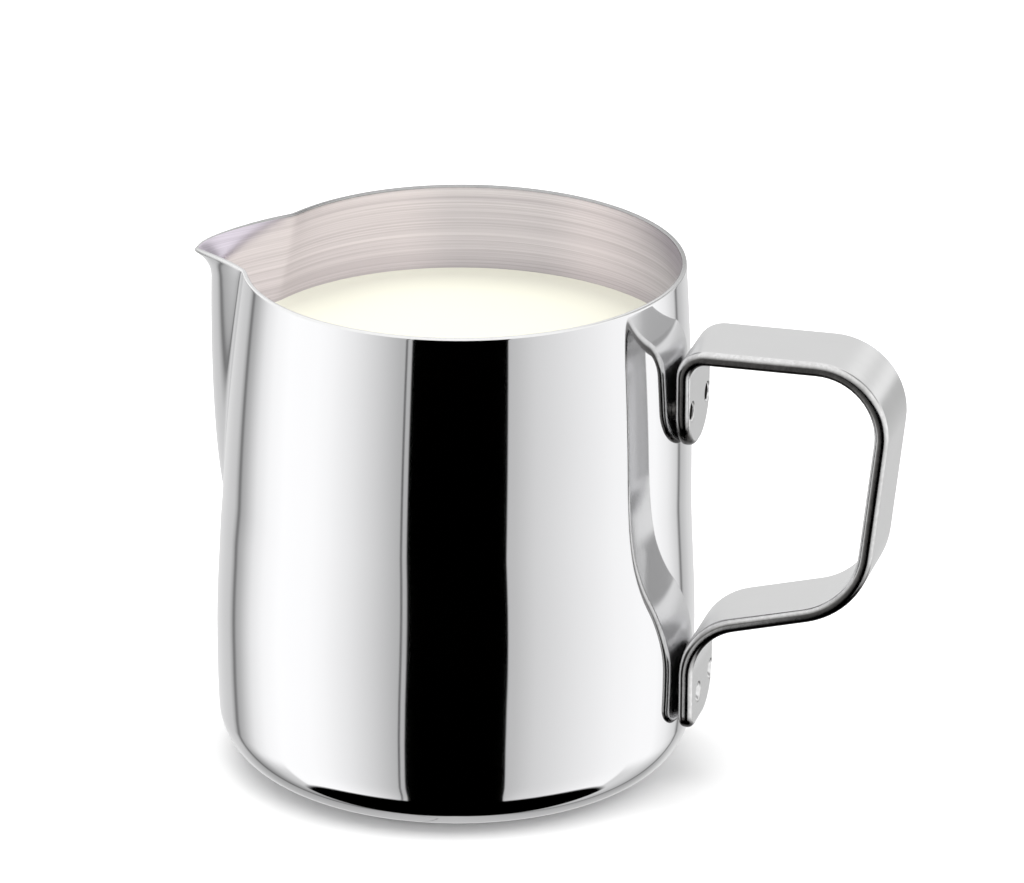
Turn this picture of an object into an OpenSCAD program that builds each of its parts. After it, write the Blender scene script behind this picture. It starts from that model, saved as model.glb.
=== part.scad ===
// Cream frothing jug: a drawn steel cup with a pressed spout and a welded strap handle.
// Millimetres. +Z is up, +X points to the handle, -X to the spout. The origin is the foot's centre.

/* [Cup] */
// Widest outside diameter, low on the wall
body_diameter = 75; // [60:0.5:110]
// Height of the rim above the table
body_height = 82; // [74:0.5:110]
// Thickness of the drawn wall
wall = 0.8; // [0.6:0.1:1.4]
// How far the wall steps in above the belly
belly_step = 0.8; // [0:0.05:2]
// How far the top of the wall closes in towards the rim
rim_draw_in = 1.21; // [0:0.01:2]
// Radius of the rounded heel
heel_radius = 9.2; // [6:0.1:12]
// Outer radius of the raised panel in the bottom
panel_radius = 22.4; // [15:0.1:25]
// Rise of that panel
panel_rise = 0.7; // [0.3:0.1:1.5]

/* [Spout] */
// Height at which the pressed spout starts
spout_foot = 38.5; // [30:0.5:60]
// Ridge of the spout beyond the wall, just below the lip
spout_reach = 3.75; // [1:0.05:6]
// Extra reach of the rolled lip
lip_flare = 3.1; // [0:0.1:4]
// How far the tip of the lip dips below the rim
lip_dip = 2.5; // [0:0.1:4]
// Half of the angle that the spout takes at the rim
spout_half_angle = 24.3; // [15:0.1:35]
// How far the rim is drawn inwards beside the spout
shoulder_pull = 2.0; // [0:0.1:3]

/* [Handle] */
// Width of the strap
strap_width = 15; // [10:0.5:22]
// Thickness of the strap
strap_thickness = 2.3; // [1.5:0.1:3]
// Height of the strap's upper run
upper_run_z = 72; // [60:0.5:78]
// Reach of the handle's outer corner from the axis
handle_reach = 70.14; // [60:0.1:90]
// Corner radius of the tab ends
tab_corner = 7; // [1:0.1:7.4]
// Smaller radius of the lower tab's near corner
near_corner = 3; // [1:0.1:7.4]
// Bottom of the upper tab
upper_tab_z = 55.7; // [45:0.1:60]
// Bottom of the lower tab
lower_tab_z = 9.9; // [6:0.1:14]

/* [Welds] */
// Diameter of the pit that the electrode leaves
pit_diameter = 3.6; // [2:0.1:5]
// Depth of that pit
pit_depth = 0.5; // [0.2:0.1:1]
// Diameter of each weld nugget
nugget_diameter = 3.0; // [2:0.1:4]

/* [Hidden] */
// Wall radii and helpers
body_r = body_diameter / 2;
foot_r = body_r - 0.26 - heel_radius;
belly_low = 22;
belly_high = 46;
draw_start = 46;
upper_levels = 19;
tip_steps = 9;
round_steps = 48;
columns = 2 * tip_steps + round_steps;
spout_span = body_height - spout_foot;
// The turned lower cup laps the upper wall: how deep, and how thick its lap is on each side
joint_overlap = 0.5;
joint_top = spout_foot - 0.1;
lap = 0.1;
// Strap corners, from the upper tab's end to the lower one's
upper_tab_x = 36.5 + strap_thickness / 2;
lower_tab_x = 37.5 + strap_thickness / 2;
strap_points = [
    [upper_tab_x, upper_tab_z],
    [upper_tab_x, upper_run_z],
    [handle_reach, upper_run_z],
    [handle_reach - 4.28, 33.44],
    [lower_tab_x, 26.64],
    [lower_tab_x, lower_tab_z]
];
strap_radii = [0, 3.65, 10.4, 12.5, 9.65, 0];
turn_steps = 14;
// Weld places: [sideways, height] on each tab
upper_welds = [[-5.1, 62.5], [4.9, 62.2]];
lower_welds = [[-2.6, 15.0], [5.4, 15.7]];

function clamp01(t) = min(1, max(0, t));
function ease(t) = let(c = clamp01(t)) c * c * (3 - 2 * c);
function unit(v) = v / norm(v);

// Outside radius of the round wall at height z
function wall_r(z) =
    body_r
    - belly_step * ease((z - belly_low) / (belly_high - belly_low))
    - rim_draw_in * pow(max(0, (z - draw_start) / (body_height - draw_start)), 2)
    - 0.25 * pow(max(0, (20 - z) / (20 - heel_radius)), 2);

// How far up the spout a level is, from 0 at its foot to 1 at the rim
function rise(z) = clamp01((z - spout_foot) / spout_span);

// Half angle, crease radius and ridge radius of the spout at height z
function half_angle(z) = max(4, spout_half_angle * pow(rise(z), 0.45));
function pull(z) = shoulder_pull * pow(rise(z), 0.9);
function crease_r(z) = wall_r(z) - pull(z);
function flare(z) = lip_flare * pow(max(0, (z - body_height + 5) / 5), 2.5);
function ridge_r(z) = wall_r(z) + spout_reach * pow(rise(z), 0.45) + flare(z);

// Section of the spout between its creases: s runs from 0 at the ridge to 1 at a crease.
// The ridge is sharp at the lip and rounds off down to the spout's foot.
function ridge_round(z) = 0.7 + 0.6 * pow(1 - rise(z), 3) - 0.4 * ease((z - body_height + 5) / 5);
function fall(s, z) = let(b = ridge_round(z)) (sqrt(s * s + b * b) - b) / (sqrt(1 + b * b) - b);
function spout_xy(s, side, z) =
    let(a = half_angle(z), c = crease_r(z), xc = c * cos(a))
    [-(xc + (ridge_r(z) - xc) * (1 - fall(s, z))), side * s * c * sin(a)];

// Section of the rest of the wall: t runs from 0 at one crease to 1 at the other
function round_xy(t, z) =
    let(a = half_angle(z), turn = a + t * (360 - 2 * a), off = min(turn, 360 - turn),
        r = wall_r(z) - pull(z) * pow(1 - clamp01((off - a) / 80), 2))
    [-r * cos(turn), r * sin(turn)];

// Outer point of column i at level z, counting once around from the ridge
function section_xy(i, z) =
    i <= tip_steps ? spout_xy(pow(i / tip_steps, 1.2), 1, z)
    : i < tip_steps + round_steps ? round_xy((i - tip_steps) / round_steps, z)
    : spout_xy(pow((columns - i) / tip_steps, 1.2), -1, z);

// Direction into the cup, level with the table
function inward(i, z) =
    let(d = unit(section_xy((i + 1) % columns, z) - section_xy((i + columns - 1) % columns, z)))
    [-d[1], d[0]] * (cross(d, -section_xy(i, z)) > 0 ? 1 : -1);

// The lip dips towards its tip
function tip_share(i) =
    let(k = min(i, columns - i)) k > tip_steps ? 0 : pow(1 - pow(k / tip_steps, 1.2), 2);
function dip(i, z) =
    lip_dip * tip_share(i) * pow(max(0, (z - body_height + 12) / 12), 1.5);

// Level 0 is buried in the lower cup, and level 1 is where the spout starts
function level(k) =
    k == 0 ? spout_foot - joint_overlap
    : spout_foot + spout_span * (1 - pow(1 - (k - 1) / (upper_levels - 1), 1.4));
function wall_point(i, k, depth) =
    let(z = level(k), p = section_xy(i, z) + depth * inward(i, z))
    [p[0], p[1], z - dip(i, z)];

// Quads of one skin of the upper wall, turned to face outwards or inwards
function skin(start, flip) = [
    for (k = [0 : upper_levels - 1], i = [0 : columns - 1])
        let(j = (i + 1) % columns,
            a = start + k * columns + i,
            b = start + k * columns + j,
            c = start + (k + 1) * columns + j,
            d = start + (k + 1) * columns + i)
        each (flip ? [[a, d, c], [a, c, b]] : [[a, b, c], [a, c, d]])
];
function band(a0, b0, flip) = [
    for (i = [0 : columns - 1])
        let(j = (i + 1) % columns)
        each (flip
            ? [[a0 + i, b0 + j, b0 + i], [a0 + i, a0 + j, b0 + j]]
            : [[a0 + i, b0 + i, b0 + j], [a0 + i, b0 + j, a0 + j]])
];

// Upper wall with the pressed spout
module upper_wall() {
    size = columns * (upper_levels + 1);
    top = columns * upper_levels;
    points = [
        for (depth = [0, wall], k = [0 : upper_levels], i = [0 : columns - 1])
            wall_point(i, k, depth)
    ];
    faces = concat(
        skin(0, false),
        skin(size, true),
        band(0, size, false),
        band(top, size + top, true)
    );
    polyhedron(points = points, faces = faces, convexity = 6);
}

// Lower wall, heel and foot, turned about the axis
function heel_arc(r) = [
    for (a = [0 : 8.7 : 87.1]) [foot_r + r * sin(a), heel_radius - r * cos(a)]
];
function wall_line(depth, side, low, high, steps) = [
    for (k = [0 : steps])
        let(z = low + (high - low) * k / steps)
        [wall_r(z) - depth + side * lap * ease((z - high + 10) / 10), z]
];
module lower_cup() {
    outer = concat(
        [[0, panel_rise], [panel_radius, panel_rise], [panel_radius + 1.2, 0]],
        heel_arc(heel_radius),
        wall_line(0, 1, heel_radius + 1, joint_top, 12)
    );
    inner = concat(
        [[0, panel_rise + wall], [panel_radius + 0.3, panel_rise + wall]],
        [[panel_radius + 1.5, wall]],
        heel_arc(heel_radius - wall),
        wall_line(wall, -1, heel_radius + 1, joint_top, 12)
    );
    backwards = [for (k = [len(inner) - 1 : -1 : 0]) inner[k]];
    rotate_extrude($fn = 144)
        polygon(concat(outer, backwards));
}

module jug_body() {
    color([0.80, 0.80, 0.81]) {
        lower_cup();
        upper_wall();
    }
}

// Strap profile: one edge on each side of the centre line, with a rounded turn at each corner
function turn_points(k, offset) =
    let(p = strap_points[k],
        da = unit(strap_points[k - 1] - p),
        db = unit(strap_points[k + 1] - p),
        half = acos(da * db) / 2,
        r = strap_radii[k],
        centre = p + unit(da + db) * r / sin(half),
        turn = cross(da, db) < 0 ? 1 : -1,
        start = p + da * r / tan(half) - centre,
        sweep = turn * (180 - 2 * half))
    [for (n = [0 : turn_steps])
        let(a = sweep * n / turn_steps, q = start * (1 - turn * offset / r))
        centre + [q[0] * cos(a) - q[1] * sin(a), q[0] * sin(a) + q[1] * cos(a)]];
function end_point(k, other, offset) =
    let(d = unit(other - strap_points[k]) * (k == 0 ? 1 : -1))
    strap_points[k] + offset * [-d[1], d[0]];
function strap_edge(offset) =
    let(last = len(strap_points) - 1)
    concat(
        [end_point(0, strap_points[1], offset)],
        [for (k = [1 : last - 1]) each turn_points(k, offset)],
        [end_point(last, strap_points[last - 1], offset)]
    );
module strap_profile() {
    left_edge = strap_edge(strap_thickness / 2);
    right_edge = strap_edge(-strap_thickness / 2);
    polygon(concat(
        left_edge,
        [for (k = [len(right_edge) - 1 : -1 : 0]) right_edge[k]]
    ));
}

// What is cut away to round one corner of a tab's end
module corner_cut(x, z, side, radius) {
    translate([x, side * (strap_width / 2 - radius), z + radius])
        rotate([0, 90, 0])
            difference() {
                translate([0, side > 0 ? 0 : -radius - 1, -3])
                    cube([radius + 1, radius + 1, 6]);
                translate([0, 0, -4])
                    cylinder(r = radius, h = 8, $fn = 64);
            }
}

// Along X at one weld
module at_weld(x, place) {
    translate([x, place[0], place[1]])
        rotate([0, 90, 0])
            children();
}

module handle() {
    color([0.74, 0.74, 0.75])
        difference() {
            rotate([90, 0, 0])
                linear_extrude(height = strap_width, center = true)
                    strap_profile();
            corner_cut(upper_tab_x, upper_tab_z, -1, tab_corner);
            corner_cut(upper_tab_x, upper_tab_z, 1, tab_corner);
            corner_cut(lower_tab_x, lower_tab_z, -1, near_corner);
            corner_cut(lower_tab_x, lower_tab_z, 1, tab_corner);
            for (place = upper_welds)
                weld_hole(upper_tab_x, place);
            for (place = lower_welds)
                weld_hole(lower_tab_x, place);
        }
}
module weld_hole(x, place) {
    face = strap_thickness / 2;
    at_weld(x, place) {
        translate([0, 0, -face - 1])
            cylinder(d = nugget_diameter, h = strap_thickness + 2, $fn = 48);
        translate([0, 0, face - pit_depth])
            cylinder(d1 = nugget_diameter, d2 = pit_diameter, h = pit_depth, $fn = 48);
    }
}

// Nuggets fill the strap up to the pit's floor and end on the cup's outer surface
module nuggets(x, places) {
    for (place = places)
        difference() {
            at_weld(x, place)
                translate([0, 0, -4])
                    cylinder(d = nugget_diameter, h = 4 + strap_thickness / 2 - pit_depth, $fn = 48);
            translate([0, 0, place[1] - 3])
                cylinder(r1 = wall_r(place[1] - 3), r2 = wall_r(place[1] + 3), h = 6, $fn = 144);
        }
}
module upper_weld_nuggets() {
    color([0.55, 0.55, 0.56])
        nuggets(upper_tab_x, upper_welds);
}
module lower_weld_nuggets() {
    color([0.55, 0.55, 0.56])
        nuggets(lower_tab_x, lower_welds);
}

jug_body();
handle();
upper_weld_nuggets();
lower_weld_nuggets();
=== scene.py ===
"""Looks of the cream frothing jug: the drawn cup, its strap handle and their spot welds."""
import math

import bpy
from mathutils import Matrix, Vector


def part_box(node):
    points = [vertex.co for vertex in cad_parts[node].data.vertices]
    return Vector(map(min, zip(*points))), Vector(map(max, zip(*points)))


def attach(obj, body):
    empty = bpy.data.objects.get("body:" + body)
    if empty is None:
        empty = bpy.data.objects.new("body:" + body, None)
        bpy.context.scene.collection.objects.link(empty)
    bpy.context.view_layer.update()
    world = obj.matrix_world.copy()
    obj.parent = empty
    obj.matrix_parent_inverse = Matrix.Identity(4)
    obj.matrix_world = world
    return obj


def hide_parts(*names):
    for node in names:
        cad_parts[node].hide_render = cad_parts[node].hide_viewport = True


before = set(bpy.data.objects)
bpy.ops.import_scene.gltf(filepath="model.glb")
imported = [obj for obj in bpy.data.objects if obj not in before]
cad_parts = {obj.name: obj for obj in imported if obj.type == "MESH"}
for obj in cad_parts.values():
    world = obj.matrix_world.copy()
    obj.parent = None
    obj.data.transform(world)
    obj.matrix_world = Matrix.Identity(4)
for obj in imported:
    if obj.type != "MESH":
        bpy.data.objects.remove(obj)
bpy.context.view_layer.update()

MM = 0.001
scene = bpy.context.scene

# ---------------------------------------------------------------- sizes, in millimetres and degrees

_, cup_high = (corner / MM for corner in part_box("jug_body"))
strap_low, strap_high = (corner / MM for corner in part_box("handle"))

# The cup's round wall, with its tucked heel and the slight step in above its belly
BELLY_R = cup_high.y
RIM_Z = cup_high.z
WALL = 0.8
RIM_ROUND = 0.34
HEEL_R = 9.2
HEEL_START_ANGLE = 3
FOOT_TUCK = 0.26
FOOT_R = BELLY_R - FOOT_TUCK - HEEL_R
PANEL_R = 22.4
PANEL_RISE = 0.7
WALL_TUCK = 0.25
TUCK_Z = 20
BELLY_STEP = 0.8
STEP_LOW_Z = 22
STEP_HIGH_Z = 46
RIM_DRAW_IN = 1.21

# The pressed spout, which widens and reaches out by a power of its rise
SPOUT_FOOT = 38.5
SPOUT_FOOT_EASE = 0.02
SPOUT_REACH = 3.75
SPOUT_GROWTH = 0.45
SPOUT_HALF_ANGLE = 24.3
SPOUT_LEAST_HALF_ANGLE = 4
SPOUT_LIMIT_ANGLE = 60
SHOULDER_PULL = 2.0
SHOULDER_GROWTH = 0.9
SHOULDER_FADE_ANGLE = 80
RIDGE_ROUND = 0.7
RIDGE_ROUND_AT_FOOT = 0.6
RIDGE_SHARPER_AT_LIP = 0.4
CREASE_FILLET = 0.35
LIP_FLARE = 3.1
FLARE_BAND = 5
FLARE_POWER = 2.5
LIP_DIP = 2.5
DIP_BAND = 12
DIP_POWER = 1.5

# The strap
STRAP_T = 2.3
STRAP_W = strap_high.y - strap_low.y
EDGE_ROUND = 1.0
TAB_CORNER = 7.0
NEAR_CORNER = 3.0
TAB_SPARE = 1.5
UPPER_TAB_X = strap_low.x + STRAP_T / 2
LOWER_TAB_X = UPPER_TAB_X + 1.0
UPPER_RUN_Z = strap_high.z - STRAP_T / 2
UPPER_TAB_Z = 55.7
LOWER_TAB_Z = strap_low.z
REACH_X = UPPER_TAB_X + 32.49

# The spot welds, with the side and height of each
PIT_D = 3.6
PIT_DEPTH = 0.5
NUGGET_D = 3.0
NUGGET_SINK = 0.6
RING_DEPTH = 0.16
UPPER_CORE_R = 1.3
LOWER_CORE_R = 0.8
UPPER_WELDS = [(-5.1, 62.5), (4.9, 62.2)]
LOWER_WELDS = [(-2.6, 15.0), (5.4, 15.7)]

# Modelling
LIP_SPACING = 0.5
LIP_ROWS = 12
FLANK_SPACING = 0.85
FLANK_ROWS = 45
BELLY_SPACING = 2.0
BELLY_ROWS = 14
HEEL_STEPS = 16
COLUMN_CROWDING = 0.45
PRESS_MARGIN = 0.5
WELD_SIDES = 48
SMOOTH_ANGLE = 35
MERGE_GAP = 0.01
FINE_MERGE_GAP = 0.004

# The milk on the stage, and the flag under the heel
MILK_Z = 67.4
MILK_CLIMB = 0.7
MILK_CLIMB_FROM = 0.94
FLAG_GAP = 0.12
FLAG_TOP_Z = 15

# The camera, with its aim and distance in metres
CAMERA_AIM = Vector((0.0089, 0.0, 0.0527))
CAMERA_AZIMUTH = 14.36
CAMERA_ELEVATION = 21.01
CAMERA_DISTANCE = 1.3548
CAMERA_LENS = 306.2
CAMERA_SENSOR = 36
CAMERA_FAR_CLIP = 50
CAMERA_ROLL = 0.35


# ---------------------------------------------------------------- shader helpers


class Value:
    """One socket of a node tree. Arithmetic on it adds Math nodes."""

    def __init__(self, tree, socket):
        self.tree = tree
        self.socket = socket

    def math(self, operation, *others):
        operands = dict(enumerate((self, *others)))
        return self.tree.node("ShaderNodeMath", {"operation": operation}, operands)

    def __add__(self, other):
        return self.math("ADD", other)

    def __sub__(self, other):
        return self.math("SUBTRACT", other)

    def __rsub__(self, other):
        return (self * -1) + other

    def __mul__(self, other):
        return self.math("MULTIPLY", other)

    def __truediv__(self, other):
        return self.math("DIVIDE", other)

    def __rtruediv__(self, other):
        return self.math("POWER", -1.0) * other

    __radd__ = __add__
    __rmul__ = __mul__

    def step(self, start, end):
        """A smooth step from 0 where this value is start to 1 where it is end."""
        t = ((self - start) / (end - start)).math("MAXIMUM", 0.0).math("MINIMUM", 1.0)
        return t * t * (3.0 - 2.0 * t)


class Tree:
    """The node tree of a material or of the world."""

    def __init__(self, owner):
        owner.use_nodes = True
        self.nodes = owner.node_tree.nodes
        self.links = owner.node_tree.links

    def feed(self, socket, value):
        if isinstance(value, Value):
            self.links.new(value.socket, socket)
        else:
            socket.default_value = value

    def node(self, kind, settings=None, inputs=None, output=0):
        """Adds a node: first its settings, with a ramp's as stops, then its sockets."""
        made = self.nodes.new(kind)
        for name, value in (settings or {}).items():
            if name == "stops":
                set_stops(made.color_ramp, value)
            else:
                setattr(made, name, value)
        for name, value in (inputs or {}).items():
            self.feed(made.inputs[name], value)
        return Value(self, made.outputs[output])

    def mix(self, share, first, second):
        """Blends two colours."""
        return self.node("ShaderNodeMix", {"data_type": "RGBA"}, {0: share, 6: first, 7: second}, 2)

    def place(self):
        return self.node("ShaderNodeTexCoord", output="Object")

    def along(self, axis):
        """How far along one axis of the piece a point is, in metres."""
        return self.node("ShaderNodeSeparateXYZ", inputs={0: self.place()}, output=axis)

    def noise(self, scale, detail=3.0, roughness=0.5, stretch=(1, 1, 1)):
        """Noise on the piece's own coordinates, with features of 1/scale metres."""
        place = self.node("ShaderNodeMapping", inputs={"Vector": self.place(), "Scale": stretch})
        sockets = {"Vector": place, "Scale": scale, "Detail": detail, "Roughness": roughness}
        return self.node("ShaderNodeTexNoise", inputs=sockets)

    def bump(self, shader, height, strength, distance):
        """Roughens a shader's surface by a height, over a distance in metres."""
        sockets = {"Height": height, "Strength": strength, "Distance": distance}
        bumpy = self.node("ShaderNodeBump", inputs=sockets, output="Normal")
        self.feed(shader.inputs["Normal"], bumpy)


def set_stops(ramp, stops):
    while len(ramp.elements) > 1:
        ramp.elements.remove(ramp.elements[-1])
    for number, (position, level) in enumerate(stops):
        stop = ramp.elements[0] if number == 0 else ramp.elements.new(position)
        stop.position = position
        stop.color = (level, level, level, 1)


def finish(name, metallic=1.0):
    """A new material, with the tree and the shader that the caller feeds."""
    material = bpy.data.materials.new(name)
    tree = Tree(material)
    shader = tree.nodes["Principled BSDF"]
    shader.inputs["Metallic"].default_value = metallic
    return material, tree, shader


def grey(level, warmth=0.0):
    return (level + warmth, level, level - warmth, 1)


# ---------------------------------------------------------------- finishes


def mirror_steel():
    """Buffed outside of the cup, with the faintest haze left by the mop."""
    material, tree, shader = finish("mirror steel")
    haze = tree.noise(45, detail=4)
    marks = tree.noise(30, detail=5, roughness=0.7, stretch=(1, 1, 30))
    buffed = tree.mix(haze, (0.82, 0.82, 0.83, 1), (0.84, 0.84, 0.85, 1))
    tree.feed(shader.inputs["Base Color"], buffed)
    tree.feed(shader.inputs["Roughness"], 0.03 + 0.025 * haze + 0.01 * marks)
    return material


def brushed_steel():
    """Inside of the cup: brushed round on the lathe, with painted shade darkening it towards the
    handle.
    """
    material, tree, shader = finish("brushed steel")
    lines = tree.noise(11, detail=5, roughness=0.7, stretch=(1, 1, 330))
    bands = tree.noise(14, detail=3, roughness=0.6, stretch=(1, 1, 60))
    depth = (0.75 * lines + 0.25 * bands).step(0.3, 0.7)
    # A lighter and a darker copy of the brushed steel: the darker one is painted shade on the
    # handle side, and also fills a darker strip down the middle
    lighter_brush = tree.mix(depth, (0.58, 0.53, 0.595, 1), (0.78, 0.72, 0.80, 1))
    darker_brush = tree.mix(depth, (0.36, 0.35, 0.41, 1), (0.54, 0.53, 0.60, 1))
    # A strip down the middle, full within 6 mm and gone by 16 mm, takes up to 45 percent of the
    # darker copy
    middle_strip = (tree.along("X") + 0.002).math("ABSOLUTE").step(0.016, 0.006) * 0.45
    # Painted shade: from 14 to 36 mm out on the handle side, the inside takes the darker copy
    side = tree.along("X").step(0.014, 0.036)
    tree.feed(shader.inputs["Base Color"], tree.mix(side.math("MAXIMUM", middle_strip), lighter_brush, darker_brush))
    tree.feed(shader.inputs["Roughness"], 0.36 - 0.12 * bands)
    tree.bump(shader, lines, 0.35, 0.00006)
    return material


def rim_steel():
    """Trimmed and deburred edge of the rim, with painted shade darkening its far side."""
    material, tree, shader = finish("rim steel")
    grain = tree.noise(900, detail=3)
    # Lit and shaded copies of the rim: the darker back one is painted shade on the far side
    front = tree.mix(grain, grey(0.8), grey(0.88))
    back = tree.mix(grain, grey(0.38), grey(0.5))
    far_side_shade = tree.along("Y").step(-0.015, 0.01)
    tree.feed(shader.inputs["Base Color"], tree.mix(far_side_shade, front, back))
    tree.feed(shader.inputs["Roughness"], 0.16 + 0.14 * grain)
    return material


def satin_steel():
    """Broad faces of the strap: tumbled smooth, with short fine scratches along it."""
    material, tree, shader = finish("satin steel")
    cloud = tree.noise(60, detail=4)
    scratches = tree.noise(500, detail=4, roughness=0.7, stretch=(0.15, 1, 0.15))
    tree.feed(shader.inputs["Base Color"], tree.mix(cloud, grey(0.74), grey(0.78)))
    tree.feed(shader.inputs["Roughness"], 0.2 + 0.08 * scratches)
    tree.bump(shader, scratches, 0.12, 0.00004)
    return material


def punched_edge_steel():
    """Sheared edges of the strap: torn grain, lightened and darkened by the painted highlight and
    shade that paint_tone lays on.
    """
    material, tree, shader = finish("punched edge steel")
    tears = tree.noise(1500, detail=5, roughness=0.7)
    ripple = tree.noise(260, detail=4, roughness=0.6)
    mottle = (0.6 * tears + 0.4 * ripple).step(0.38, 0.64)
    # Painted light and shade from paint_tone sets how bright the edge's colour is
    painted_light = tree.node("ShaderNodeAttribute", {"attribute_name": "painted_light"}, output="Fac")
    dark = tree.mix(painted_light, grey(0.012, 0.002), grey(0.72, 0.004))
    light = tree.mix(painted_light, grey(0.05, 0.004), grey(0.86))
    tree.feed(shader.inputs["Base Color"], tree.mix(mottle, dark, light))
    tree.feed(shader.inputs["Roughness"], 0.1 + 0.12 * ripple)
    tree.bump(shader, 0.5 * tears + 0.5 * ripple, 0.2, 0.00012)
    return material


def weld_ring_steel():
    """Bright ring that the electrode squeezes up around each weld."""
    material, tree, shader = finish("weld ring steel")
    grain = tree.noise(1400, detail=4)
    tree.feed(shader.inputs["Base Color"], tree.mix(grain, grey(0.68), grey(0.82)))
    tree.feed(shader.inputs["Roughness"], 0.1 + 0.15 * grain)
    return material


def weld_core_steel():
    """Scaled heart of each weld: heat tint, with painted shade and dark reflection of its hollow,
    near black.
    """
    material, tree, shader = finish("weld core steel")
    scale = tree.noise(1800, detail=5, roughness=0.7)
    # Near black: partly the weld's heat scale, partly painted shade and reflection of the hollow
    # core
    scale_and_painted_shade = tree.mix(scale.step(0.3, 0.7), grey(0.02), grey(0.12, 0.005))
    tree.feed(shader.inputs["Base Color"], scale_and_painted_shade)
    tree.feed(shader.inputs["Roughness"], 0.3 + 0.3 * scale)
    tree.bump(shader, scale, 0.5, 0.0001)
    return material


def milk_surface():
    """Milk or thin cream, with hardly any gloss."""
    material, tree, shader = finish("milk", metallic=0.0)
    cloud = tree.noise(30, detail=2)
    cream = tree.mix(cloud, (0.60, 0.595, 0.50, 1), (0.62, 0.615, 0.525, 1))
    tree.feed(shader.inputs["Base Color"], cream)
    shader.inputs["Roughness"].default_value = 0.35
    shader.inputs["Specular IOR Level"].default_value = 0.2
    return material


# ---------------------------------------------------------------- modelling helpers


def deselect():
    if bpy.context.object and bpy.context.object.mode == "EDIT":
        bpy.ops.object.mode_set(mode="OBJECT")
    bpy.ops.object.select_all(action="DESELECT")
    scene.tool_settings.mesh_select_mode = (True, False, False)


def select_only(piece):
    """Selects one piece and nothing else, and makes it the active one."""
    deselect()
    piece.select_set(True)
    bpy.context.view_layer.objects.active = piece


def named(name):
    """Names the piece that was just added, and puts its place in its mesh."""
    piece = bpy.context.object
    piece.name = name
    piece.data.name = name
    bpy.ops.object.transform_apply(location=True, rotation=True, scale=True)
    return piece


def pick(piece, faces=None, edges=None):
    """In edit mode, selects only the faces or the edges that a test accepts.

    An edge's test is given its two ends, in millimetres.
    """
    bpy.ops.mesh.select_mode(type="FACE" if faces else "EDGE")
    bpy.ops.mesh.select_all(action="DESELECT")
    bpy.ops.object.mode_set(mode="OBJECT")
    for face in piece.data.polygons if faces else []:
        face.select = faces(face)
    for edge in piece.data.edges if edges else []:
        edge.select = edges(*(piece.data.vertices[index].co / MM for index in edge.vertices))
    bpy.ops.object.mode_set(mode="EDIT")


def apply_modifier(piece, kind, **settings):
    bpy.context.view_layer.objects.active = piece
    modifier = piece.modifiers.new(kind.lower(), kind)
    for name, value in settings.items():
        setattr(modifier, name, value)
    bpy.ops.object.modifier_apply(modifier=modifier.name)


def merge_doubles(piece):
    """Closes the seams that a modifier leaves."""
    select_only(piece)
    bpy.ops.object.mode_set(mode="EDIT")
    bpy.ops.mesh.select_all(action="SELECT")
    bpy.ops.mesh.remove_doubles(threshold=FINE_MERGE_GAP * MM)
    bpy.ops.object.mode_set(mode="OBJECT")


def smooth(piece):
    """Shades a piece smooth but for its sharp edges."""
    select_only(piece)
    bpy.ops.object.shade_smooth_by_angle(angle=math.radians(SMOOTH_ANGLE))


def give_materials(piece, *materials):
    piece.data.materials.clear()
    for material in materials:
        piece.data.materials.append(material)


# ---------------------------------------------------------------- cup


def ease(t):
    """A smooth step from 0 where t is 0 to 1 where it is 1."""
    t = min(1.0, max(0.0, t))
    return t * t * (3 - 2 * t)


def wall_r(z):
    """Outside radius of the round wall at height z."""
    step = BELLY_STEP * ease((z - STEP_LOW_Z) / (STEP_HIGH_Z - STEP_LOW_Z))
    draw_in = RIM_DRAW_IN * max(0.0, (z - STEP_HIGH_Z) / (RIM_Z - STEP_HIGH_Z)) ** 2
    tuck = WALL_TUCK * max(0.0, (TUCK_Z - z) / (TUCK_Z - HEEL_R)) ** 2
    return BELLY_R - step - draw_in - tuck


def spout_rise(z):
    """How far up the spout a height is, from 0 at its foot to 1 at the rim, with a soft start."""
    rise = min(1.0, max(0.0, (z - SPOUT_FOOT) / (RIM_Z - SPOUT_FOOT)))
    return math.hypot(rise, SPOUT_FOOT_EASE) - SPOUT_FOOT_EASE


def cup_r(turn, z):
    """Outside radius of the pressed cup at height z, turn radians round from the spout."""
    rise = spout_rise(z)
    wall = wall_r(z)
    if rise <= 0:
        return wall
    off = abs(turn)
    growth = rise ** SPOUT_GROWTH
    half = max(math.radians(SPOUT_LEAST_HALF_ANGLE), math.radians(SPOUT_HALF_ANGLE) * growth)
    crease = wall - SHOULDER_PULL * rise ** SHOULDER_GROWTH
    away = min(1.0, max(0.0, (off - half) / math.radians(SHOULDER_FADE_ANGLE)))
    shoulder = wall - (wall - crease) * (1 - away) ** 2
    if off > math.radians(SPOUT_LIMIT_ANGLE):
        return shoulder
    lip = (z - RIM_Z + FLARE_BAND) / FLARE_BAND
    ridge = wall + SPOUT_REACH * growth + LIP_FLARE * max(0.0, lip) ** FLARE_POWER
    across, deep = crease * math.sin(half), crease * math.cos(half)
    rounding = RIDGE_ROUND + RIDGE_ROUND_AT_FOOT * (1 - rise) ** 3
    soft = (rounding - RIDGE_SHARPER_AT_LIP * ease(lip)) * across
    slope = (ridge - deep) / (math.hypot(across, soft) - soft)
    flank = flank_r(min(off, half), ridge + slope * soft, slope, soft)
    if off > half:
        fall = slope * across / math.hypot(across, soft)
        flank += crease * (off - half) * (across - fall * deep) / (deep + fall * across)
    fillet = CREASE_FILLET * math.sqrt(rise)
    return (flank + shoulder + math.hypot(flank - shoulder, fillet)) / 2


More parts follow.
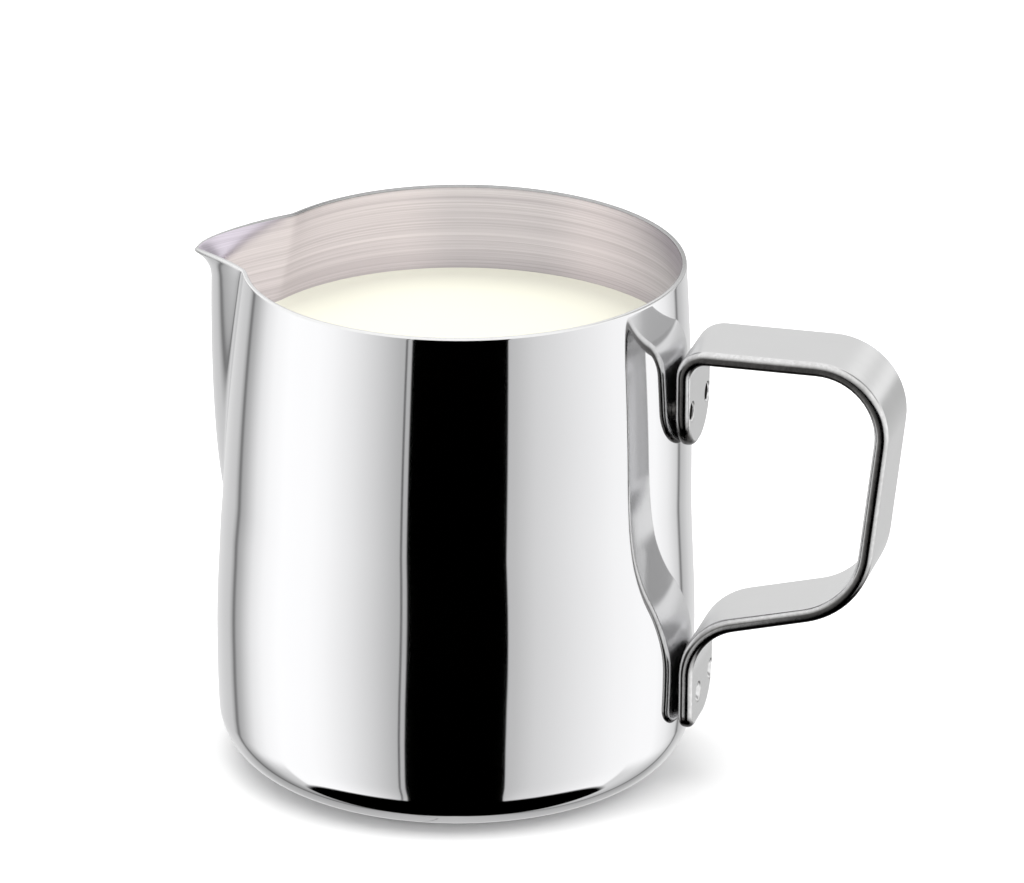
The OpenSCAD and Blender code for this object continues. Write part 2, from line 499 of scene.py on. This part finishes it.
def flank_r(off, apex, slope, soft):
    """Radius of the spout's rounded vee, off radians round from its ridge."""
    c, s = math.cos(off), math.sin(off)
    q = c * c - (slope * s) ** 2
    root = (apex * c) ** 2 - q * (apex ** 2 - (slope * soft) ** 2)
    if abs(q) < 1e-6:
        return (apex ** 2 - (slope * soft) ** 2) / (2 * apex * c)
    return (apex * c - math.sqrt(max(0.0, root))) / q


def lip_drop(turn, z):
    """How far the lip dips below the rim, most at its tip."""
    share = max(0.0, 1 - abs(turn) / math.radians(SPOUT_HALF_ANGLE))
    return LIP_DIP * share ** 2 * max(0.0, (z - RIM_Z + DIP_BAND) / DIP_BAND) ** DIP_POWER


def draw_together(turn):
    """Turns a column of the cup closer to the spout, where the shape needs more of them."""
    return turn - COLUMN_CROWDING * math.sin(turn)


def press_point(turn, z, inset=0.0):
    """Point of the pressed cup's outer skin, or inset from it."""
    radius = cup_r(turn, z) - inset
    return Vector((-radius * math.cos(turn), radius * math.sin(turn), z - lip_drop(turn, z)))


def draw_down(levels):
    """Pulls the selected ring down through [radius, height] levels, one extrusion for each."""
    radius, height = levels[0]
    for next_radius, next_height in levels[1:]:
        bpy.ops.mesh.extrude_region_move(
            TRANSFORM_OT_translate={"value": (0, 0, (next_height - height) * MM)}
        )
        size = next_radius / radius
        bpy.ops.transform.resize(value=(size, size, 1), center_override=(0, 0, 0))
        radius, height = next_radius, next_height


def cup_levels():
    """Profile of the cup from the rim down to the middle of its bottom panel."""
    lip = [RIM_Z - LIP_SPACING * row for row in range(LIP_ROWS)]
    flank = [RIM_Z - LIP_ROWS * LIP_SPACING - FLANK_SPACING * row for row in range(FLANK_ROWS)]
    belly = [flank[-1] - BELLY_SPACING * row for row in range(1, BELLY_ROWS + 1)]
    wall = [(wall_r(z), z) for z in lip + flank + belly if z > HEEL_R]
    heel = []
    for step in range(HEEL_STEPS + 1):
        a = math.radians(HEEL_START_ANGLE + (90 - HEEL_START_ANGLE) * step / HEEL_STEPS)
        heel.append((FOOT_R + HEEL_R * math.cos(a), HEEL_R - HEEL_R * math.sin(a)))
    foot = [(PANEL_R + 1.6, 0), (PANEL_R + 1.0, 0.08), (PANEL_R + 0.4, PANEL_RISE - 0.08)]
    panel = [(PANEL_R, PANEL_RISE), (PANEL_R - 1, PANEL_RISE), (12, PANEL_RISE), (3, PANEL_RISE)]
    return wall + heel + foot + panel


def make_cup(columns=400):
    deselect()
    levels = cup_levels()
    bpy.ops.mesh.primitive_circle_add(
        vertices=columns, radius=levels[0][0] * MM, location=(0, 0, levels[0][1] * MM)
    )
    cup = named("cup")
    bpy.ops.object.mode_set(mode="EDIT")
    bpy.ops.mesh.select_all(action="SELECT")
    draw_down(levels)
    bpy.ops.mesh.extrude_region_move()
    bpy.ops.mesh.merge(type="CENTER")
    bpy.ops.mesh.select_all(action="SELECT")
    bpy.ops.mesh.remove_doubles(threshold=MERGE_GAP * MM)
    bpy.ops.mesh.normals_make_consistent(inside=False)
    bpy.ops.object.mode_set(mode="OBJECT")
    press_spout(cup)
    give_materials(cup, mirror_steel(), brushed_steel(), rim_steel())
    apply_modifier(
        cup,
        "SOLIDIFY",
        thickness=WALL * MM,
        offset=-1,
        use_even_offset=True,
        material_offset=1,
        material_offset_rim=2,
    )
    apply_modifier(
        cup,
        "BEVEL",
        width=RIM_ROUND * MM,
        segments=4,
        limit_method="ANGLE",
        angle_limit=math.radians(60),
        material=2,
    )
    smooth(cup)
    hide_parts("jug_body")
    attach(cup, "root")
    return cup


def press_spout(cup):
    """The press tool's work: moves the wall out into the spout and closes the rim in beside it."""
    for vertex in cup.data.vertices:
        x, y, z = vertex.co / MM
        turn = draw_together(math.atan2(y, -x))
        if z > HEEL_R + PRESS_MARGIN:
            vertex.co = press_point(turn, z) * MM
        else:
            radius = math.hypot(x, y)
            vertex.co = Vector((-radius * math.cos(turn), radius * math.sin(turn), z)) * MM
    cup.data.update()


# ---------------------------------------------------------------- handle

# Corners of the strap's middle line, with the X, Z and bend radius of each
STRAP_PATH = [
    (UPPER_TAB_X, UPPER_TAB_Z, 0),
    (UPPER_TAB_X, UPPER_RUN_Z, 3.65),
    (REACH_X, UPPER_RUN_Z, 10.4),
    (REACH_X - 4.28, 33.44, 12.5),
    (LOWER_TAB_X, 26.64, 9.65),
    (LOWER_TAB_X, LOWER_TAB_Z, 0),
]


def bend_at(number):
    """Start and centre of one bend of the strap in the XZ plane, and its turn in radians."""
    before, here, after = (Vector(STRAP_PATH[number + k][:2]) for k in (-1, 0, 1))
    back, on = (before - here).normalized(), (after - here).normalized()
    half = back.angle(on) / 2
    radius = STRAP_PATH[number][2]
    start = here + back * (radius / math.tan(half))
    centre = here + (back + on).normalized() * (radius / math.sin(half))
    side = 1 if back.cross(on) > 0 else -1
    return start, centre, side * (math.pi - 2 * half)


def run_to(face_at, target):
    """Extrudes the strap's open end straight to a point of its path."""
    move = (target - face_at) * MM
    bpy.ops.mesh.extrude_region_move(TRANSFORM_OT_translate={"value": (move.x, 0, move.y)})


def bend_strap(start, centre, turn, steps=16):
    """Bends the strap's end round a centre, and says where the end is now."""
    axle = (centre.x * MM, 0, centre.y * MM)
    bpy.ops.mesh.spin(steps=steps, angle=-turn, center=axle, axis=(0, 1, 0))
    arm = start - centre
    c, s = math.cos(turn), math.sin(turn)
    return centre + Vector((arm.x * c + arm.y * s, -arm.x * s + arm.y * c))


def round_tab_corners(strap):
    """Rounds the two corners at the end of each tab."""
    corners = [
        (-1, UPPER_TAB_Z, TAB_CORNER),
        (1, UPPER_TAB_Z, TAB_CORNER),
        (-1, LOWER_TAB_Z, NEAR_CORNER),
        (1, LOWER_TAB_Z, TAB_CORNER),
    ]
    for side, end, radius in corners:

        def is_corner(a, b):
            low = max(abs(a.z - end), abs(b.z - end)) < 0.05
            return low and all(abs(v.y - side * STRAP_W / 2) < 0.1 for v in (a, b))

        pick(strap, edges=is_corner)
        bpy.ops.mesh.bevel(offset=radius * MM, segments=16, affect="EDGES")


def weld_places():
    """Side, height and the outer face's X of every weld."""
    upper = [(side, z, UPPER_TAB_X + STRAP_T / 2) for side, z in UPPER_WELDS]
    lower = [(side, z, LOWER_TAB_X + STRAP_T / 2) for side, z in LOWER_WELDS]
    return upper, lower


def cut_pit(strap, side, z, face_x):
    """Cuts the hole that a nugget fills, opening into the electrode's round dent."""
    deselect()
    length = 2 * STRAP_T
    bpy.ops.mesh.primitive_cylinder_add(
        vertices=WELD_SIDES,
        radius=NUGGET_D / 2 * MM,
        depth=length * MM,
        location=((face_x - RING_DEPTH - length / 2) * MM, side * MM, z * MM),
        rotation=(0, math.radians(90), 0),
    )
    cutter = named("pit_cutter")
    bpy.ops.object.mode_set(mode="EDIT")
    pick(cutter, faces=lambda face: face.normal.x > 0.9)
    middle = (0, side * MM, z * MM)
    # How far out each step of the dent goes, and the diameter that it opens to
    dent = [(RING_DEPTH / 2, (NUGGET_D + PIT_D) / 2), (RING_DEPTH / 2, PIT_D), (0.5, PIT_D + 1.0)]
    diameter = NUGGET_D
    for out, next_diameter in dent:
        bpy.ops.mesh.extrude_region_move(TRANSFORM_OT_translate={"value": (out * MM, 0, 0)})
        size = next_diameter / diameter
        bpy.ops.transform.resize(value=(1, size, size), center_override=middle)
        diameter = next_diameter
    deselect()
    apply_modifier(strap, "BOOLEAN", object=cutter, operation="DIFFERENCE", solver="EXACT")
    bpy.data.objects.remove(cutter)


def make_handle():
    deselect()
    block = TAB_CORNER + TAB_SPARE
    bpy.ops.mesh.primitive_cube_add(
        size=1,
        location=(UPPER_TAB_X * MM, 0, (UPPER_TAB_Z + block / 2) * MM),
        scale=(STRAP_T * MM, STRAP_W * MM, block * MM),
    )
    strap = named("strap_handle")
    bpy.ops.object.mode_set(mode="EDIT")
    pick(strap, faces=lambda face: face.normal.z > 0.9)
    face_at = Vector((UPPER_TAB_X, UPPER_TAB_Z + block))
    for number in range(1, len(STRAP_PATH) - 1):
        start, centre, turn = bend_at(number)
        run_to(face_at, start)
        face_at = bend_strap(start, centre, turn)
    run_to(face_at, Vector(STRAP_PATH[-1][:2]))
    bpy.ops.mesh.select_all(action="SELECT")
    bpy.ops.mesh.remove_doubles(threshold=MERGE_GAP * MM)
    bpy.ops.mesh.normals_make_consistent(inside=False)
    round_tab_corners(strap)
    bpy.ops.object.mode_set(mode="OBJECT")
    apply_modifier(
        strap,
        "BEVEL",
        width=EDGE_ROUND * MM,
        segments=8,
        limit_method="ANGLE",
        angle_limit=math.radians(45),
    )
    merge_doubles(strap)
    for place in sum(weld_places(), []):
        cut_pit(strap, *place)
    merge_doubles(strap)
    smooth(strap)
    apply_modifier(strap, "WEIGHTED_NORMAL", keep_sharp=True)
    give_materials(strap, satin_steel(), punched_edge_steel(), weld_ring_steel())
    for face in strap.data.polygons:
        face.material_index = 1 if is_edge(face) else 2 if is_pit(face) else 0
    # Painted light and shade on the strap's edges
    paint_tone(strap)
    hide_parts("handle")
    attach(strap, "root")
    return strap


SIDE_TILT = 0.12
TAB_FACE_TILT = 0.97


def is_edge(face):
    """Whether a face is on the rounded edge of the strap or of a tab's end."""
    height = face.center.z / MM
    on_end = any(-0.1 < height - end < TAB_CORNER for end in (UPPER_TAB_Z, LOWER_TAB_Z))
    return abs(face.normal.y) > SIDE_TILT or (on_end and abs(face.normal.x) < TAB_FACE_TILT)


# How much painted light each part of the edge gets, from 0 to 1, and where the painted highlight
# along the lower run's flat lies
TONE_LEAST = 0.12
TONE_ABOVE = 0.9
TONE_ASIDE = 0.95
TONE_FLAT_HIGHLIGHT = 0.7
UNDERNEATH_SHADE = 0.75
FLAT_TILT = 0.985
FLAT_HIGHLIGHT_BELOW_Z = 34
FLAT_HIGHLIGHT_TO_X = 40
FLAT_HIGHLIGHT_FADE = 18


def paint_tone(strap):
    """Paints light and shade on the edge by which way each part faces: painted highlight above,
    aside and along the lower run's flat, and painted shade, least light, in the middle and
    underneath.
    """
    painted_light = strap.data.attributes.new("painted_light", "FLOAT", "POINT")
    for vertex, painted in zip(strap.data.vertices, painted_light.data):
        normal = vertex.normal
        x, _, z = vertex.co / MM
        # Painted highlight where the edge faces up or aside, painted shade where it faces down
        up, down = ease(normal.z / 0.75), ease(-normal.z / 0.6)
        side = ease(abs(normal.x) / 0.7)
        flat_highlight = 0.0
        # Painted highlight along the flat of the lower run, fading out between 40 and 58 mm from
        # the cup's axis
        if abs(normal.y) > FLAT_TILT and z < FLAT_HIGHLIGHT_BELOW_Z:
            flat_highlight = TONE_FLAT_HIGHLIGHT * (1 - ease((x - FLAT_HIGHLIGHT_TO_X) / FLAT_HIGHLIGHT_FADE))
        brightest = max(TONE_LEAST, flat_highlight, TONE_ABOVE * up, TONE_ASIDE * side * (1 - down))
        painted.value = brightest * (1 - UNDERNEATH_SHADE * down)


def is_pit(face):
    """Whether a face is part of an electrode's dent."""
    x, y, z = face.center / MM
    return any(
        math.hypot(y - side, z - height) < PIT_D / 2 + 0.1 and 0 < face_x - x < PIT_DEPTH + 0.1
        for side, height, face_x in sum(weld_places(), [])
    )


# ---------------------------------------------------------------- welds


def make_nugget(name, side, z, face_x, core_r):
    """One nugget: a short pin whose raised bright ring slopes down to a sunken core."""
    deselect()
    top_x = face_x - RING_DEPTH
    length = top_x - (face_x - STRAP_T) + NUGGET_SINK
    bpy.ops.mesh.primitive_cylinder_add(
        vertices=WELD_SIDES,
        radius=NUGGET_D / 2 * MM,
        depth=length * MM,
        location=((top_x - length / 2) * MM, side * MM, z * MM),
        rotation=(0, math.radians(90), 0),
    )
    nugget = named(name)
    bpy.ops.object.mode_set(mode="EDIT")
    pick(nugget, faces=lambda face: face.normal.x > 0.9)
    lip = 0.04
    ring = NUGGET_D / 2 - lip - core_r
    # How far in each step across the top goes, and how far up
    top = [(lip, 0.03), (ring, -0.8 * ring), (0.06, -0.38), (0.2, -0.02), (0.3, 0.04)]
    for inset, drop in top:
        bpy.ops.mesh.inset(thickness=inset * MM)
        bpy.ops.transform.translate(value=(drop * MM, 0, 0))
    bpy.ops.object.mode_set(mode="OBJECT")
    smooth(nugget)
    give_materials(nugget, weld_ring_steel(), weld_core_steel())
    for face in nugget.data.polygons:
        off = math.hypot(face.center.y / MM - side, face.center.z / MM - z)
        face.material_index = 1 if off < core_r or abs(face.normal.x) < 0.1 else 0
    return nugget


def make_nuggets(name, places, node, core_r):
    """The nuggets of one tab, which together stand for that tab's node."""
    for number, place in enumerate(places, 1):
        nugget = make_nugget(f"{name}_{number}", *place, core_r)
        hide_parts(node)
        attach(nugget, "root")


# ---------------------------------------------------------------- studio


def hide_from(stage_piece, *rays):
    """Hides a piece of the stage from kinds of ray, by their names in its visibility settings."""
    for ray in rays:
        setattr(stage_piece, f"visible_{ray}", False)


def make_floor():
    """A white floor that carries the shadow and that the steel does not mirror."""
    deselect()
    bpy.ops.mesh.primitive_plane_add(size=12, location=(0, 0, 0))
    floor = named("floor")
    material, _, shader = finish("floor", metallic=0.0)
    shader.inputs["Base Color"].default_value = grey(0.9)
    shader.inputs["Roughness"].default_value = 0.9
    shader.inputs["Specular IOR Level"].default_value = 0.0
    give_materials(floor, material)
    hide_from(floor, "glossy")


def make_shade_skirt():
    """A flag close round the heel that only the floor's light meets, for its contact shadow."""
    deselect()
    levels = [(FOOT_R + HEEL_R + FLAG_GAP, FLAG_TOP_Z)]
    for degrees in range(0, 91, 10):
        a = math.radians(degrees)
        out, down = (HEEL_R + FLAG_GAP) * math.cos(a), (HEEL_R - FLAG_GAP) * math.sin(a)
        levels.append((FOOT_R + out, HEEL_R - down))
    bpy.ops.mesh.primitive_circle_add(
        vertices=128, radius=levels[0][0] * MM, location=(0, 0, levels[0][1] * MM)
    )
    skirt = named("shade_skirt")
    bpy.ops.object.mode_set(mode="EDIT")
    bpy.ops.mesh.select_all(action="SELECT")
    draw_down(levels)
    bpy.ops.object.mode_set(mode="OBJECT")
    material, _, shader = finish("flag black", metallic=0.0)
    shader.inputs["Base Color"].default_value = grey(0.02)
    shader.inputs["Roughness"].default_value = 1.0
    give_materials(skirt, material)
    hide_from(skirt, "camera", "glossy", "transmission", "shadow")


def make_milk(columns=256):
    """What the jug is shown holding. It belongs to the stage and not to the jug."""
    deselect()
    bpy.ops.mesh.primitive_circle_add(
        vertices=columns, radius=wall_r(MILK_Z) * MM, location=(0, 0, MILK_Z * MM)
    )
    milk = named("milk_on_stage")
    bpy.ops.object.mode_set(mode="EDIT")
    bpy.ops.mesh.select_all(action="SELECT")
    draw_down([(30, MILK_Z), (29.7, MILK_Z), (29, MILK_Z), (28, MILK_Z), (20, MILK_Z), (3, MILK_Z)])
    bpy.ops.mesh.extrude_region_move()
    bpy.ops.mesh.merge(type="CENTER")
    bpy.ops.object.mode_set(mode="OBJECT")
    for vertex in milk.data.vertices:
        x, y, z = vertex.co / MM
        turn = math.atan2(y, -x)
        share = math.hypot(x, y) / wall_r(MILK_Z)
        climb = MILK_CLIMB * max(0.0, (share - MILK_CLIMB_FROM) / (1 - MILK_CLIMB_FROM)) ** 2
        edge = press_point(draw_together(turn), MILK_Z, inset=WALL / 2)
        vertex.co = Vector((edge.x * share, edge.y * share, MILK_Z + climb)) * MM
    select_only(milk)
    bpy.ops.object.shade_smooth()
    give_materials(milk, milk_surface())


# What stands round the jug, by degrees from the camera: how bright a polished wall shows it
SURROUND = [
    (-180, 0.70), (-160, 0.64), (-141, 0.54), (-137.5, 0.40), (-134.5, 0.13), (-131.5, 0.37),
    (-127, 0.46), (-116, 0.78), (-106, 0.93), (-94, 1.0), (-75, 0.98), (-66, 0.93), (-53, 0.80),
    (-40, 0.63), (-28, 0.45), (-24, 0.44),
    (28, 0.50), (39, 0.63), (62, 0.78), (83, 0.90), (102, 0.95), (114, 0.95),
    (126, 0.82), (137.5, 0.60), (140.3, 0.13), (143, 0.47), (156, 0.62), (180, 0.70),
]
SKY = 1.1
SURROUND_GAIN = 1.2

# The black gap: its half width grows ahead of the jug, and its middle drifts aside further off
GAP_SPREAD = 0.442
GAP_SPREAD_CLOSE = 0.055
GAP_ASIDE = 0.005
GAP_DRIFT = 0.06
GAP_DRIFT_FROM = 1.95
GAP_LINE_AT = -1.125

# How much light each shaded part of the surround and the sky loses
LINE_SHADE = 0.72
NEAR_SHADE = 0.32
BEHIND_SHADE = 0.24
DARK_SIDE_SHADE = 0.58


def light_studio():
    """An even white sky, and below the horizon soft greys with a black gap towards the camera."""
    world = bpy.data.worlds.new("studio")
    scene.world = world
    tree = Tree(world)
    direction = tree.node("ShaderNodeTexCoord", output="Generated")
    parts = tree.node("ShaderNodeSeparateXYZ", inputs={0: direction})
    x, y, z = (Value(tree, socket) for socket in parts.socket.node.outputs)
    turn = math.radians(CAMERA_AZIMUTH)
    ahead = x * math.sin(turn) - y * math.cos(turn)
    aside = x * math.cos(turn) + y * math.sin(turn)
    degrees = aside.math("ARCTAN2", ahead) * (180 / math.pi)
    stops = [(0.5 + at / 360, level) for at, level in SURROUND]
    around = tree.node("ShaderNodeValToRGB", {"stops": stops}, {0: degrees / 360 + 0.5})
    depth = (z * -1).math("MAXIMUM", 0.02)
    forward, across = ahead / depth, aside / depth
    drift = (forward - GAP_DRIFT_FROM).math("MAXIMUM", 0.0)
    gap_middle = GAP_DRIFT * drift + GAP_ASIDE
    gap_half = GAP_SPREAD * forward + GAP_SPREAD_CLOSE / forward.math("MAXIMUM", 0.25)
    off_gap = (across - gap_middle) / gap_half.math("MAXIMUM", 0.05)
    gap = 1 - off_gap.math("ABSOLUTE").step(0.985, 1.01)
    gap_line = 1 - (off_gap - GAP_LINE_AT).math("ABSOLUTE").step(0.012, 0.04)
    underfoot = (forward * forward + 0.5 * across * across).math("SQRT")
    underneath = 1 - underfoot.step(0.55, 0.62)
    ahead_of_heel = (forward + 0.26 * across.math("ABSOLUTE")).step(-0.21, -0.17)
    black = gap.math("MAXIMUM", underneath) * ahead_of_heel
    reach = (forward * forward + across * across).math("SQRT")
    near = (1 - reach.step(1.0, 1.8)) * forward.step(-0.15, -0.25)
    below = (around * SURROUND_GAIN) * (1 - LINE_SHADE * gap_line)
    below = below * (1 - NEAR_SHADE * near) * (1 - black)
    behind = degrees.math("ABSOLUTE").step(150, 162) * (1 - z.step(0.45, 0.7))
    beside = degrees.step(92, 108) * (1 - degrees.step(140, 150))
    dark_side = beside * z.step(0.12, 0.3) * (1 - z.step(0.75, 0.95))
    above = SKY * (1 - BEHIND_SHADE * behind - DARK_SIDE_SHADE * dark_side)
    share = z.step(-0.02, 0.02)
    level = below * (1 - share) + above * share
    shader = tree.nodes["Background"]
    tree.feed(shader.inputs["Color"], level)
    shader.inputs["Strength"].default_value = 1.0


def hang_soft_box(name, place, size, power):
    """A soft box aimed at the jug, which whitens floor and milk but is not mirrored."""
    data = bpy.data.lights.new(name, "AREA")
    data.size = size
    data.energy = power
    soft_box = bpy.data.objects.new(name, data)
    soft_box.location = place
    soft_box.rotation_euler = Vector(place).to_track_quat("Z", "Y").to_euler()
    scene.collection.objects.link(soft_box)
    hide_from(soft_box, "glossy", "camera")


def place_camera():
    """The camera, a little above the rim and round towards the handle, with a long lens."""
    data = bpy.data.cameras.new("camera")
    camera = bpy.data.objects.new("camera", data)
    scene.collection.objects.link(camera)
    data.lens = CAMERA_LENS
    data.sensor_width = CAMERA_SENSOR
    data.clip_end = CAMERA_FAR_CLIP
    azimuth, elevation = math.radians(CAMERA_AZIMUTH), math.radians(CAMERA_ELEVATION)
    level = math.cos(elevation)
    back = Vector((math.sin(azimuth) * level, -math.cos(azimuth) * level, math.sin(elevation)))
    right = Vector((0, 0, 1)).cross(back).normalized()
    frame_axes = Matrix((right, back.cross(right), back)).transposed()
    roll = Matrix.Rotation(math.radians(CAMERA_ROLL), 3, "Z")
    camera.matrix_world = (frame_axes @ roll).to_4x4()
    camera.location = CAMERA_AIM + back * CAMERA_DISTANCE
    scene.camera = camera


# ---------------------------------------------------------------- making

scene.view_settings.view_transform = "Standard"
place_camera()
light_studio()
hang_soft_box("overhead_box", place=(0, 0, 1.2), size=1.5, power=18)
hang_soft_box("side_box", place=(0.6, 0.05, 0.45), size=0.5, power=1.5)
make_floor()
make_shade_skirt()
make_milk()
make_cup()
make_handle()
upper_places, lower_places = weld_places()
make_nuggets("upper_weld", upper_places, "upper_weld_nuggets", core_r=UPPER_CORE_R)
make_nuggets("lower_weld", lower_places, "lower_weld_nuggets", core_r=LOWER_CORE_R)
